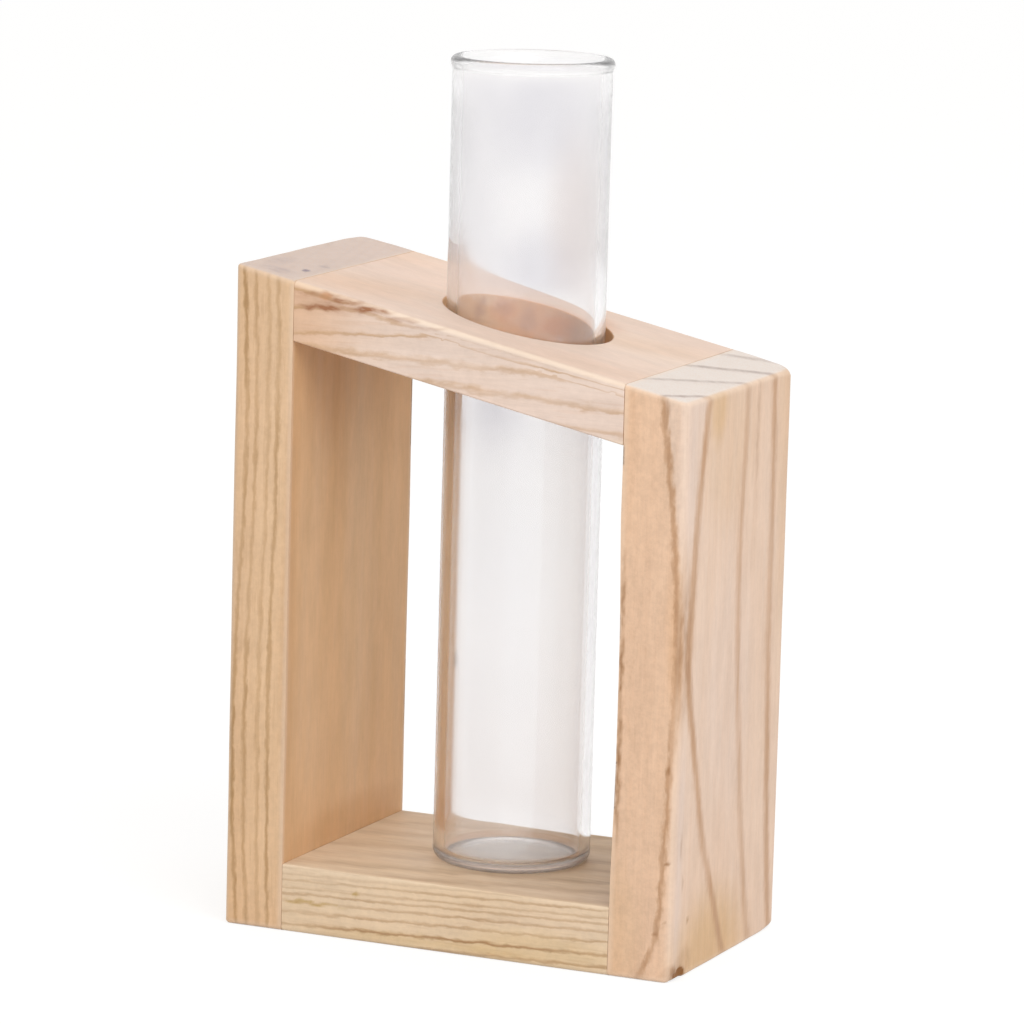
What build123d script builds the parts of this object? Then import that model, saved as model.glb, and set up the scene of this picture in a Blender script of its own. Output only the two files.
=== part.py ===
from build123d import *
from math import hypot
import os

# Test tube vase: a glass tube that stands upright in a small wooden frame.
# The frame is four boards: two uprights, with a top and a bottom rail between them.
# Its top slopes down to the right, and hidden dowels hold the boards together.
# Millimetres, +Z up, the front towards -Y. The origin is the middle of the
# frame's footprint, on the surface that the vase stands on.

# Frame
frame_width = 92.0
frame_depth = 53.0
left_height = 126.5  # at the outer face of the left upright
right_height = 108.0  # at the outer face of the right upright
left_upright_thickness = 12.2
right_upright_thickness = 12.6
top_rail_thickness = 11.1  # square to its sloped faces
bottom_rail_thickness = 13.0

# Sanded edges of the boards
arris_radius = 1.0  # round the top and the bottom of the frame
left_corner_radius = 1.2  # the left upright's two outer corners, in plan
right_corner_radius = 2.0  # the right upright's two outer corners, in plan
window_arris_radius = 0.4  # the rails' edges towards the window

# Dowels, two in each joint, in blind holes that meet at the joint
dowel_diameter = 5.0
dowel_rail_depth = 10.0  # how far a dowel reaches into the rail's end
dowel_edge_distance = 11.0  # from the front or back face to the dowel's axis
dowel_outer_cover = 4.0  # wood left between a dowel hole and the upright's outer face
dowel_end_gap = 0.4
dowel_glue_gap = 0.1
dowel_chamfer = 0.5

# Hole in the top rail, drilled straight down
hole_offset_x = 1.9  # right of the frame's middle
hole_offset_y = 0.4  # behind the frame's middle
hole_clearance = 1.0  # between the tube and the hole's wall, all round
tube_aside_share = 0.4  # of that clearance: how far left of the hole's axis the tube stands

# Glass tube
tube_radius = 15.0
tube_length = 153.0
tube_wall = 2.0
tube_floor = 1.5
heel_radius = 2.0  # outer corner under the tube
floor_corner_radius = 1.6  # inner corner at the bottom of the cavity
rim_bead = 0.35  # how far the melted rim stands proud of the wall
rim_bead_height = 2.4

# Cuts run this far past the wood
overrun = 1.0

# Places that follow from the sizes above
half_width = frame_width / 2
half_depth = frame_depth / 2
left_inner_x = left_upright_thickness - half_width
right_inner_x = half_width - right_upright_thickness
slope = (left_height - right_height) / frame_width
top_rail_drop = top_rail_thickness * hypot(1, slope)  # the rail's thickness, straight down
dowel_y = half_depth - dowel_edge_distance
dowel_hole_cover = dowel_outer_cover + dowel_end_gap  # beyond the dowel's own end
dowel_radius = dowel_diameter / 2
hole_radius = tube_radius + hole_clearance
tube_x = hole_offset_x - hole_clearance * tube_aside_share
tube_y = hole_offset_y
joint_x = {-1: left_inner_x, 1: right_inner_x}  # where the rails meet the uprights, by side

os.makedirs("parts", exist_ok=True)


def top_z(x):
    """Height of the sloped top at x."""
    return left_height - slope * (x + half_width)


def board(outline):
    """Add a board as deep as the frame, from its outline in x and z."""
    with BuildSketch(Plane.XZ) as profile:
        with BuildLine():
            Polyline(*outline, close=True)
        make_face()
    extrude(profile.sketch, amount=half_depth, both=True)


def dowel_bars(side, z, radius, end_gap=0, mode=Mode.ADD):
    """Add or cut the two round bars across one joint. Side is -1 on the left, 1 on the right."""
    start = joint_x[side] - side * (dowel_rail_depth + end_gap)
    end = side * (half_width - dowel_hole_cover + end_gap)
    with BuildSketch(Plane.YZ.offset(start)) as ends:
        with Locations((-dowel_y, z), (dowel_y, z)):
            Circle(radius)
    extrude(ends.sketch, amount=end - start, mode=mode)


def dowel_holes(side, z):
    """Cut a joint's dowel holes in the board that is being made."""
    dowel_bars(side, z, dowel_radius + dowel_glue_gap, dowel_end_gap, Mode.SUBTRACT)


def top_dowel_z(side):
    """Height of the dowels in the sloped rail: mid-thickness at the middle of their reach."""
    return top_z(joint_x[side] - side * dowel_rail_depth / 2) - top_rail_drop / 2


bottom_dowel_z = bottom_rail_thickness / 2

# Left upright, as high as the frame, with its outer corners and ends sanded
with BuildPart() as left_upright:
    board(
        [
            (-half_width, 0),
            (left_inner_x, 0),
            (left_inner_x, top_z(left_inner_x)),
            (-half_width, left_height),
        ]
    )
    outer_corners = left_upright.faces().sort_by(Axis.X)[0].edges().filter_by(Axis.Z)
    fillet(outer_corners, radius=left_corner_radius)
    top_edges = left_upright.faces().sort_by(Axis.Z)[-1].edges().sort_by(Axis.X)[:-1]
    bottom_edges = left_upright.faces().sort_by(Axis.Z)[0].edges().sort_by(Axis.X)[:-1]
    fillet(top_edges + bottom_edges, radius=arris_radius)
    dowel_holes(-1, bottom_dowel_z)
    dowel_holes(-1, top_dowel_z(-1))
left_upright.part.label = "left_upright"
export_step(left_upright.part, "parts/left_upright.step")

# Right upright, the shorter one
with BuildPart() as right_upright:
    board(
        [
            (right_inner_x, 0),
            (half_width, 0),
            (half_width, right_height),
            (right_inner_x, top_z(right_inner_x)),
        ]
    )
    outer_corners = right_upright.faces().sort_by(Axis.X)[-1].edges().filter_by(Axis.Z)
    fillet(outer_corners, radius=right_corner_radius)
    top_edges = right_upright.faces().sort_by(Axis.Z)[-1].edges().sort_by(Axis.X)[1:]
    bottom_edges = right_upright.faces().sort_by(Axis.Z)[0].edges().sort_by(Axis.X)[1:]
    fillet(top_edges + bottom_edges, radius=arris_radius)
    dowel_holes(1, bottom_dowel_z)
    dowel_holes(1, top_dowel_z(1))
right_upright.part.label = "right_upright"
export_step(right_upright.part, "parts/right_upright.step")

# Top rail, which slopes between the uprights and has the hole for the tube
with BuildPart() as top_rail:
    board(
        [
            (left_inner_x, top_z(left_inner_x) - top_rail_drop),
            (right_inner_x, top_z(right_inner_x) - top_rail_drop),
            (right_inner_x, top_z(right_inner_x)),
            (left_inner_x, top_z(left_inner_x)),
        ]
    )
    sloped_and_upright_edges = top_rail.edges().filter_by(Axis.Y, reverse=True)
    long_edges = sloped_and_upright_edges.filter_by(Axis.Z, reverse=True).sort_by(Axis.Z)
    fillet(long_edges[:2], radius=window_arris_radius)
    fillet(long_edges[2:], radius=arris_radius)
    with BuildSketch(Plane.XY):
        with Locations((hole_offset_x, hole_offset_y)):
            Circle(hole_radius)
    extrude(amount=max(left_height, right_height) + overrun, mode=Mode.SUBTRACT)
    for side in (-1, 1):
        dowel_holes(side, top_dowel_z(side))
top_rail.part.label = "top_rail"
export_step(top_rail.part, "parts/top_rail.step")

# Bottom rail, which the tube stands on
with BuildPart() as bottom_rail:
    board(
        [
            (left_inner_x, 0),
            (right_inner_x, 0),
            (right_inner_x, bottom_rail_thickness),
            (left_inner_x, bottom_rail_thickness),
        ]
    )
    long_edges = bottom_rail.edges().filter_by(Axis.X).sort_by(Axis.Z)
    fillet(long_edges[:2], radius=arris_radius)
    fillet(long_edges[2:], radius=window_arris_radius)
    for side in (-1, 1):
        dowel_holes(side, bottom_dowel_z)
bottom_rail.part.label = "bottom_rail"
export_step(bottom_rail.part, "parts/bottom_rail.step")

# Dowels: a front and a back one in each of the four joints
dowel_joints = {
    "bottom_left_dowels": (-1, bottom_dowel_z),
    "bottom_right_dowels": (1, bottom_dowel_z),
    "top_left_dowels": (-1, top_dowel_z(-1)),
    "top_right_dowels": (1, top_dowel_z(1)),
}
for name, (side, z) in dowel_joints.items():
    with BuildPart() as dowels:
        dowel_bars(side, z, dowel_radius)
        chamfer(dowels.edges().filter_by(GeomType.CIRCLE), length=dowel_chamfer)
    dowels.part.label = name
    export_step(dowels.part, f"parts/{name}.step")

# Glass tube with a flat bottom, which stands on the bottom rail and reaches through the hole
tube_plane = Plane(origin=(tube_x, tube_y, bottom_rail_thickness), x_dir=(1, 0, 0), z_dir=(0, -1, 0))
bore_radius = tube_radius - tube_wall
rim_radius = (tube_wall + rim_bead) / 2  # the rim's round section, from the bore to the bead
rim_z = tube_length - rim_radius
bead_z = tube_length - rim_bead_height
bead_bend = (rim_z - bead_z) / 2
with BuildPart() as glass_tube:
    with BuildSketch(tube_plane):
        with BuildLine():
            Line((0, 0), (tube_radius - heel_radius, 0))
            JernArc((tube_radius - heel_radius, 0), (1, 0), heel_radius, 90)
            Line((tube_radius, heel_radius), (tube_radius, bead_z))
            Bezier(
                (tube_radius, bead_z),
                (tube_radius, bead_z + bead_bend),
                (tube_radius + rim_bead, rim_z - bead_bend),
                (tube_radius + rim_bead, rim_z),
            )
            JernArc((tube_radius + rim_bead, rim_z), (0, 1), rim_radius, 180)
            Line((bore_radius, rim_z), (bore_radius, tube_floor + floor_corner_radius))
            JernArc((bore_radius, tube_floor + floor_corner_radius), (0, -1), floor_corner_radius, -90)
            Line((bore_radius - floor_corner_radius, tube_floor), (0, tube_floor))
            Line((0, tube_floor), (0, 0))
        make_face()
    revolve(axis=Axis((tube_x, tube_y, 0), (0, 0, 1)))
glass_tube.part.label = "glass_tube"
export_step(glass_tube.part, "parts/glass_tube.step")
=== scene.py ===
from math import cos, pi, radians, sin

import bmesh
import bpy
import numpy as np
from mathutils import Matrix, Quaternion, Vector


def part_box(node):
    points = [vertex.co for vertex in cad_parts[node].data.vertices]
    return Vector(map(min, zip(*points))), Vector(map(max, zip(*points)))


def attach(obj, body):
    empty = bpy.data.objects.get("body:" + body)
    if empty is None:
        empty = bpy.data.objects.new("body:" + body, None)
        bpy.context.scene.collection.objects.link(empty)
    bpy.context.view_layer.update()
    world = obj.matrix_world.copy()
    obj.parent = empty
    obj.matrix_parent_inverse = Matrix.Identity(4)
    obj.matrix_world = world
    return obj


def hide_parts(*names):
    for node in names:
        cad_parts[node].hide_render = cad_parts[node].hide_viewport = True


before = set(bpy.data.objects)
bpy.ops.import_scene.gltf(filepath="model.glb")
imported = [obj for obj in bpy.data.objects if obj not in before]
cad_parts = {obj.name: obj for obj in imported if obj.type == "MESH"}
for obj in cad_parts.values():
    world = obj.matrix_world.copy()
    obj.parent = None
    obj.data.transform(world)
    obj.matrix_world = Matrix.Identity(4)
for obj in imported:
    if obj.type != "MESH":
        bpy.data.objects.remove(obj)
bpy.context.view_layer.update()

# A test tube vase: a flat-bottomed glass tube in a small frame of four softwood boards.
# Shapes are worked out in millimetres and put into Blender in metres.
MM = 0.001
WELD = 0.0005  # points of one surface that are nearer than this are one point

# The photograph's viewing angle
CAMERA_TARGET = (-2.67, 5.72, 78.72)
CAMERA_DISTANCE = 1100.0
CAMERA_AZIMUTH = 24.05
CAMERA_ELEVATION = 9.95
CAMERA_ROLL = 1.57  # the upright edges lean a little to the right
CAMERA_LENS = 203.81
CAMERA_SENSOR = 36.0

# Boards: what their boxes don't tell
LEFT_CORNERS = (1.2, 3.0)  # the outer corners, front and back, in plan
RIGHT_CORNERS = (2.0, 3.2)
OUTER_ARRIS = 1.0  # rounding round the top and the bottom of the frame
CORNER_ARRIS = 0.9  # how much rounder that is at the outer back corners
CORNER_REACH = 9.0  # how far from such a corner it is rounder
WINDOW_ARRIS = 0.4  # rounding of the rails towards the window
JOINT_EASE = 0.07  # the faint groove where two boards meet
HOLE_CENTRE = (1.9, 0.4)
HOLE_RADIUS = 16.0
HOLE_EASE = 0.35
SANDING = 0.10  # how far hand sanding has taken the faces back, at most
SANDING_WAVE = 23.0  # how long the low places are that it left
MARK_WANDER = 0.3  # how far the edges of marks in the wood wander
BOARD_STEP = 0.5  # spacing of the boards' points

# Glass tube
TUBE_WALL = 2.0
TUBE_FLOOR = 1.5
TUBE_HEEL = 2.0
TUBE_FLOOR_CORNER = 1.6
TUBE_BEAD = 0.35
TUBE_BEAD_HEIGHT = 2.4
TUBE_STAND = 0.04  # gap under the ring that the base rests on
TUBE_HOLLOW = 0.35  # how far the base is hollowed within that ring
TUBE_AROUND = 288  # points round the tube
TUBE_STEP = 1.5  # spacing of the points along its wall
TUBE_FLOOR_STEP = 1.2
MIST_TURN = 24.0  # the misted side of the tube faces this many degrees to the right of the front


def corners_mm(node):
    """Lowest and highest corner of a node, in millimetres."""
    return tuple(np.array(corner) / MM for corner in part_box(node))


left_lo, left_hi = corners_mm("left_upright")
right_lo, right_hi = corners_mm("right_upright")
rail_lo, rail_hi = corners_mm("top_rail")
base_lo, base_hi = corners_mm("bottom_rail")
tube_lo, tube_hi = corners_mm("glass_tube")

# The sloped top passes through the rail's high end and the right upright's inner edge
slope = (rail_hi[2] - right_hi[2]) / (rail_hi[0] - rail_lo[0])
rail_drop = right_hi[2] - rail_lo[2]  # the top rail's thickness, straight down


def top_z(x):
    """Height of the frame's sloped top at x."""
    return rail_hi[2] - slope * (x - rail_lo[0])


def srgb(red, green, blue):
    """Linear colour of a screen colour whose channels run from 0 to 255."""
    channels = np.array((red, green, blue)) / 255
    linear = np.where(channels <= 0.04045, channels / 12.92, ((channels + 0.055) / 1.055) ** 2.4)
    return (*linear.tolist(), 1.0)


def smooth_step(value, low, high):
    """0 below low, 1 above high, and a smooth S between them."""
    share = np.clip((value - low) / (high - low), 0, 1)
    return share * share * (3 - 2 * share)


def within(value, start, full, fading, end):
    """0 outside start..end, 1 from full to fading, and smooth between them."""
    return smooth_step(value, start, full) * (1 - smooth_step(value, fading, end))


def ripple(points, size, seed, waves=9):
    """Smooth unevenness of about -1 to 1: sine waves about `size` long, in seeded directions."""
    random = np.random.default_rng(seed)
    directions = random.normal(size=(waves, 3))
    directions /= np.linalg.norm(directions, axis=1, keepdims=True)
    lengths = size * random.uniform(0.7, 1.7, (waves, 1))
    phases = random.uniform(0, 2 * pi, waves)
    return np.sin(points @ (directions * 2 * pi / lengths).T + phases).sum(-1) / np.sqrt(2 * waves)


def surface(name, grid, rows_meet=False):
    """Mesh of a grid of points (rows, columns, xyz) in millimetres whose columns run round and meet.

    Points that fall together, as at a pole or where a cap folds onto its middle line, become
    one, so that the surface is closed, and its faces are then turned outwards.
    """
    rows, columns = grid.shape[:2]
    row = np.arange(rows if rows_meet else rows - 1)[:, None]
    column = np.arange(columns)[None, :]
    next_row, next_column = (row + 1) % rows, (column + 1) % columns
    corners = [(row, column), (row, next_column), (next_row, next_column), (next_row, column)]
    faces = np.stack([r * columns + c for r, c in corners], -1).reshape(-1, 4)
    mesh = bpy.data.meshes.new(name)
    mesh.from_pydata((grid.reshape(-1, 3) * MM).tolist(), [], faces.tolist())
    welded = bmesh.new()
    welded.from_mesh(mesh)
    bmesh.ops.remove_doubles(welded, verts=welded.verts, dist=WELD * MM)
    bmesh.ops.recalc_face_normals(welded, faces=welded.faces)
    welded.to_mesh(mesh)
    welded.free()
    mesh.shade_smooth()
    piece = bpy.data.objects.new(name, mesh)
    bpy.context.collection.objects.link(piece)
    return piece


def points_of(piece):
    """A piece's points, in millimetres."""
    points = np.empty(len(piece.data.vertices) * 3, np.float32)
    piece.data.vertices.foreach_get("co", points)
    return points.reshape(-1, 3).astype(float) / MM


def move_points(piece, points):
    """Put a piece's points at new places, in millimetres."""
    piece.data.vertices.foreach_set("co", (points * MM).astype(np.float32).ravel())
    piece.data.update()


def normals_of(piece):
    """The outward direction at each point of a piece."""
    normals = np.empty(len(piece.data.vertices) * 3, np.float32)
    piece.data.vertex_normals.foreach_get("vector", normals)
    return normals.reshape(-1, 3).astype(float)


def paint(piece, name, values):
    """Store one number for each point of a piece, for its material to read."""
    piece.data.attributes.new(name, "FLOAT", "POINT").data.foreach_set("value", values.astype(np.float32))


# Boards


def rounded_outline(lo, hi, radii):
    """Points round a rectangle with four rounded corners, from its front left corner anticlockwise.

    Gives the points, their outward directions, and the share of the way along each side,
    which is the same for points that face each other across the board.
    """
    middle_x = np.linspace(0, 1, round((hi[0] - lo[0]) / BOARD_STEP) + 1)[1:-1]
    middle_y = np.linspace(0, 1, round((hi[1] - lo[1]) / BOARD_STEP) + 1)[1:-1]
    arc = np.linspace(0, pi / 2, 7)
    corners = [(lo[0], lo[1]), (hi[0], lo[1]), (hi[0], hi[1]), (lo[0], hi[1])]
    centres = [
        (x + radius * (1 if x == lo[0] else -1), y + radius * (1 if y == lo[1] else -1))
        for (x, y), radius in zip(corners, radii)
    ]
    turns = [arc + pi + quarter * pi / 2 for quarter in range(4)]
    points, outward, shares = [], [], []
    for k in range(4):
        facing = np.stack([np.cos(turns[k]), np.sin(turns[k])], -1)
        points.append(np.array(centres[k]) + radii[k] * facing)
        outward.append(facing)
        shares.append(np.tile((float(k in (1, 2)), float(k in (2, 3))), (len(arc), 1)))
        following = (k + 1) % 4
        side = middle_x if k in (0, 2) else middle_y
        first = points[-1][-1]
        last = np.array(centres[following]) + radii[following] * facing[-1]
        points.append(first + side[:, None] * (last - first))
        outward.append(np.repeat(facing[-1:], len(side), 0))
        along = side if k < 2 else 1 - side
        fixed = np.full(len(side), float(k in (1, 2)))
        shares.append(np.stack([along, fixed] if k in (0, 2) else [fixed, along], -1))
    return np.concatenate(points), np.concatenate(outward), np.concatenate(shares)


def inside_distance(x, y, lo, hi, radius=0.0):
    """How far inside a rectangle with rounded corners a point lies, in plan."""
    beyond_x = np.abs(x - (lo[0] + hi[0]) / 2) - (hi[0] - lo[0]) / 2 + radius
    beyond_y = np.abs(y - (lo[1] + hi[1]) / 2) - (hi[1] - lo[1]) / 2 + radius
    corner = np.hypot(np.maximum(beyond_x, 0), np.maximum(beyond_y, 0))
    return radius - corner - np.minimum(np.maximum(beyond_x, beyond_y), 0)


def rounding(distance, radius):
    """How far a rounded edge falls below the face, at a distance in from the side: a quarter circle."""
    short = np.clip(radius - distance, 0, radius)
    return radius - np.sqrt(radius**2 - short**2)


def crowded(count):
    """Shares from 0 to 1 that crowd towards both ends, as a cosine does."""
    return (1 - np.cos(np.linspace(0, pi, count + 1))) / 2


def board(name, outline, inner, lower, upper, rows, cap_rows, wear_seed, hollow=False):
    """A board between two height functions of x and y, over an outline in plan.

    Its rows run over the underside from the inner line to the outline, up the sides, and
    back over the top face. Where the board has a hole they close down the hole's wall.
    """
    edge, outward = outline
    cap = crowded(cap_rows)[:, None, None]
    spread = edge + cap * (inner - edge)
    low = np.dstack([spread, lower(spread[..., 0], spread[..., 1])])
    high = np.dstack([spread, upper(spread[..., 0], spread[..., 1])])
    climb = np.linspace(0, 1, rows + 1)[1:-1, None, None]
    sides = low[0] + climb * (high[0] - low[0])
    parts = [low[::-1], sides, high]
    if hollow:
        down = np.linspace(0, 1, round(rail_drop / BOARD_STEP))[1:-1, None, None]
        parts.append(high[-1] + down * (low[-1] - high[-1]))
    grid = np.concatenate(parts)
    steep = np.zeros(len(grid))
    steep[len(low) - 1 : len(low) + rows] = 1
    worn = SANDING * (0.5 + 0.5 * ripple(grid, SANDING_WAVE, wear_seed).clip(-1, 1))
    grid[..., :2] -= (steep[:, None] * worn)[..., None] * outward
    return surface(name, grid, rows_meet=hollow)


def facing_line(lo, hi, shares):
    """The middle line of a rectangle: for each point of its outline, the point that it folds to."""
    length, width = max(hi[0] - lo[0], hi[1] - lo[1]), min(hi[0] - lo[0], hi[1] - lo[1])
    centre = (np.array(lo[:2]) + np.array(hi[:2])) / 2
    along = np.array([1.0, 0.0]) if hi[0] - lo[0] > hi[1] - lo[1] else np.array([0.0, 1.0])
    return centre + (shares @ along - 0.5)[:, None] * (length - width) * along


def upright(name, lo, hi, side, corners, wear_seed):
    """An upright: its outer corners and both ends are rounded, its edges at the rails only eased.

    Side is -1 for the left upright and 1 for the right one, corners the radii of its outer
    corners in plan, front and back.
    """
    front, back = corners
    inner = JOINT_EASE
    radii = (front, inner, inner, back) if side < 0 else (inner, front, back, inner)
    edge, outward, shares = rounded_outline(lo, hi, radii)
    reach = 10 * front  # moves the joint side out of the rounding's way
    round_lo = (lo[0] - (reach if side > 0 else 0), lo[1])
    round_hi = (hi[0] + (reach if side < 0 else 0), hi[1])
    outer_x, joint_x = (lo[0], hi[0]) if side < 0 else (hi[0], lo[0])

    def fall(x, y):
        points = np.stack([x, y, 0 * x], -1)
        at_corner = 1 - smooth_step(np.hypot(x - outer_x, y - hi[1]), 1, CORNER_REACH)
        arris = OUTER_ARRIS * (0.9 + 0.1 * ripple(points, 15.0, seed=5)) + CORNER_ARRIS * at_corner
        corner = front + (back - front) * smooth_step(y, lo[1], hi[1])
        outer_fall = rounding(inside_distance(x, y, round_lo, round_hi, corner), arris)
        return outer_fall + rounding(np.abs(x - joint_x), JOINT_EASE)

    return board(
        name,
        (edge, outward),
        facing_line(lo, hi, shares),
        fall,
        lambda x, y: top_z(x) - fall(x, y),
        rows=round((hi[2] - lo[2]) / BOARD_STEP),
        cap_rows=18,
        wear_seed=wear_seed,
    )


def bottom_rail():
    """The bottom rail, rounded along its lower edges and eased along the window's."""
    edge, outward, shares = rounded_outline(base_lo, base_hi, (JOINT_EASE,) * 4)

    def fall(x, y, radius):
        side = np.minimum(y - base_lo[1], base_hi[1] - y)
        end = np.minimum(x - base_lo[0], base_hi[0] - x)
        return rounding(side, radius) + rounding(end, JOINT_EASE)

    return board(
        "bottom_board",
        (edge, outward),
        facing_line(base_lo, base_hi, shares),
        lambda x, y: base_lo[2] + fall(x, y, OUTER_ARRIS),
        lambda x, y: base_hi[2] - fall(x, y, WINDOW_ARRIS),
        rows=round((base_hi[2] - base_lo[2]) / BOARD_STEP),
        cap_rows=50,
        wear_seed=12,
    )


def top_rail():
    """The sloped rail, as a ring of points round the hole's axis, so that the hole is part of it."""
    edge, outward, _ = rounded_outline(rail_lo, rail_hi, (JOINT_EASE,) * 4)
    axis = np.array(HOLE_CENTRE)
    away = edge - axis
    rim = axis + HOLE_RADIUS * away / np.linalg.norm(away, axis=1, keepdims=True)

    def fall(x, y, radius):
        side = np.minimum(y - rail_lo[1], rail_hi[1] - y)
        end = np.minimum(x - rail_lo[0], rail_hi[0] - x)
        hole = np.hypot(x - axis[0], y - axis[1]) - HOLE_RADIUS
        return rounding(side, radius) + rounding(end, JOINT_EASE) + rounding(hole, HOLE_EASE)

    return board(
        "top_board",
        (edge, outward),
        rim,
        lambda x, y: top_z(x) - rail_drop + fall(x, y, WINDOW_ARRIS),
        lambda x, y: top_z(x) - fall(x, y, OUTER_ARRIS),
        rows=round(rail_drop / BOARD_STEP),
        cap_rows=50,
        wear_seed=9,
        hollow=True,
    )


# Growth rings: a board's ring number grows by one from each ring to the next.
# The pale early wood fills the first half of the number and the dark late wood the second.


def ring_bands(bands):
    """Ring number, and how plainly its late wood shows, from bands given as (level, reach, plainness).

    A level turns from below to above 0 at the middle of its band of late wood, which reaches
    that far to either side. Levels, reaches and plainness may differ from point to point.
    """
    edges = [edge for level, reach, _ in bands for edge in (level + reach, level - reach)]
    gaps = zip([edges[0] + 1] + edges[:-1], edges)
    ring = sum(0.5 * np.clip(near / np.maximum(near - far, 1e-6), 0, 1) for near, far in gaps)
    plainness = np.stack([plain + 0 * ring for _, _, plain in bands])
    current = np.minimum(ring.astype(int), len(bands) - 1)
    return ring, np.take_along_axis(plainness, current[None], 0)[0]


def left_rings(points):
    """Straight rings along the left upright, about 2.2 mm apart, a little askew to its front."""
    askew, spacing = 0.2, 2.2
    x, y, z = points.T
    across = x - left_lo[0] + askew * (y - left_lo[1])
    sway = np.sin(2 * pi * (z - 68) / 115)
    uneven = 0.13 * ripple(points * (1, 0.3, 0.5), 9.0, seed=4) + 0.05 * ripple(points, 3.5, seed=5)
    places = [(2.0, 0.95, 1.0), (4.25, 0.75, 0.75), (6.9, 0.55, 0.55), (8.95, 0.4, 0.85)]
    places += [(11.2 + spacing * k, 0.4, 0.7) for k in range(1, 7)]
    wide = 0.66 + 0.12 * ripple(points * (1, 1, 0.3), 12.0, seed=6)
    faded = 0.75 + 0.25 * ripple(points * (0.6, 0.6, 0.25), 10.0, seed=7)
    level = across + uneven
    bands = [(level - place - swing * sway, wide, plain * faded) for place, swing, plain in places]
    return ring_bands(bands)


def waist(z, least, height, above, below, foot=0.0):
    """How far a ring reaches at height z: least at its waist, and more above, below and at the foot.

    Above and below give how much more at the board's two ends, and the power it grows with.
    """
    up = np.clip((z - height) / (right_hi[2] - height), 0, None)
    down = np.clip((height - z) / height, 0, None)
    flare = foot * np.clip(1 - z / 12, 0, 1) ** 2
    return least + above[0] * up ** above[1] + below[0] * down ** below[1] + flare


def right_rings(points):
    """Wide rings round a pith in front of the right upright: its front right corner cuts them.

    In plan a ring is the straight line u / a + v / b = 1, where u runs left from the outer face
    and v back from the front. Both a and b are least at the ring's waist and grow away from it.
    """
    front_width, side_width = 1.0, 2.2  # of the late wood, to either side of its middle
    x, y, z = points.T
    u, v = right_hi[0] - x, y - right_lo[1]
    wave = 0.12 * ripple(points * (0.2, 0.2, 1), 26.0, seed=12)
    ragged = 0.09 * ripple(points * (0.3, 0.3, 1), 3.2, seed=15) + 0.06 * ripple(points, 1.6, seed=16)
    across = [
        waist(z, 0.8, 61, (4.7, 1.7), (2.6, 1.3), 3.6) + ragged,
        waist(z, 16.4, 62, (1.5, 1.6), (3.0, 1.6)),
        waist(z, 36.0, 62, (2.0, 1.6), (4.0, 1.6)),
        waist(z, 69.0, 62, (2.0, 1.6), (4.0, 1.6)),
    ]
    back = [
        waist(z, 4.8, 63, (6.9, 1.6), (21.6, 1.66)),
        waist(z, 27.6, 70, (2.2, 1.1), (10.4, 1.6)),
        waist(z, 43.4, 75, (-0.4, 1.0), (5.2, 2.0)),
        waist(z, 56.0, 75, (-0.4, 1.0), (5.0, 2.0)),
    ]
    bands = []
    for a, b, plain in zip(across, back, (1.0, 0.65, 0.9, 0.6)):
        b = b + 2 * wave
        back_share = (v / b) / np.maximum(u / a + v / b, 1e-6)
        reach = back_share * side_width / b + (1 - back_share) * front_width / a
        bands.append((u / a + v / b - 1, reach, plain))
    return ring_bands(bands)


def bottom_rings(points):
    """Nearly level rings in the bottom rail, which rise a little to the right and are closest at the top."""
    askew, rise, reach = 0.15, 0.034, 0.46
    x, y, z = points.T
    along = x - base_lo[0]
    depth = base_hi[2] - z - askew * (y - base_lo[1]) + rise * along
    depth = depth + 0.08 * ripple(points * (1, 0.4, 0.5), 6.0, seed=21)
    depth = depth + 0.05 * ripple(points * (1, 0.5, 1), 2.4, seed=23)
    behind = [(-9.2, 0.4), (-7.7, 0.4), (-6.3, 0.5), (-4.8, 0.45), (-3.1, 0.5), (-2.0, 0.35), (-0.6, 0.5)]
    upper = [(0.6, 0.4), (1.75, 0.35), (2.95, 0.55), (4.4, 0.45), (5.5, 0.7), (7.0, 0.5)]
    lower = [(8.95, 0.6), (11.45, 1.0), (13.7, 1.0), (16.0, 0.8)]
    faded = 0.65 + 0.35 * smooth_step(along, 0, 45) + 0.15 * ripple(points * (1, 0.3, 0.6), 12.0, seed=24)
    return ring_bands([(depth - place, reach, plain * faded) for place, plain in behind + upper + lower])


def top_rings(points):
    """Wavy rings that lie nearly level in the sloping top rail, so that the slope cuts through them.

    Each ring is a height over x, and the ring number grows downwards from one to the next.
    """
    x, y, z = points.T
    back = y - rail_lo[1]
    wave = 0.18 * ripple(points * (1, 0.5, 0), 9.0, seed=33) + 0.1 * ripple(points, 2.5, seed=34)
    wave -= 0.1 * back
    scallop = 0.15 * np.abs(np.sin(x / 1.9 + 0.8 * np.sin(x / 5.3)))
    under_arris = top_z(x) - 1.7
    first = np.minimum(120.7 + 0.045 * x, under_arris)
    lens = np.maximum(under_arris + 0.4, first + 1.1)
    wide = 111.1 - 0.02 * x + scallop
    thin = np.maximum(np.minimum(116.3 + 0.06 * x, 116.9 - 0.21 * x), wide + 1.8)
    faded = 0.85 + 0.15 * ripple(points * (1, 0.3, 1), 7.0, seed=35)
    bands = [
        (lens, 0.5, 1 - smooth_step(x, -24, -20)),
        (first, 0.7, 1 - smooth_step(x, -16, -5)),
        (thin + 0.5 * scallop, 0.5, 0.9),
        (wide, 1.05, 0.75),
        (106.9 - 0.05 * x + scallop, 0.95, 0.75),
        (102.9 - 0.05 * x, 0.6, 0.6),
    ]
    return ring_bands([(height + wave - z, reach, plain * faded) for height, reach, plain in bands])


# Materials

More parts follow.
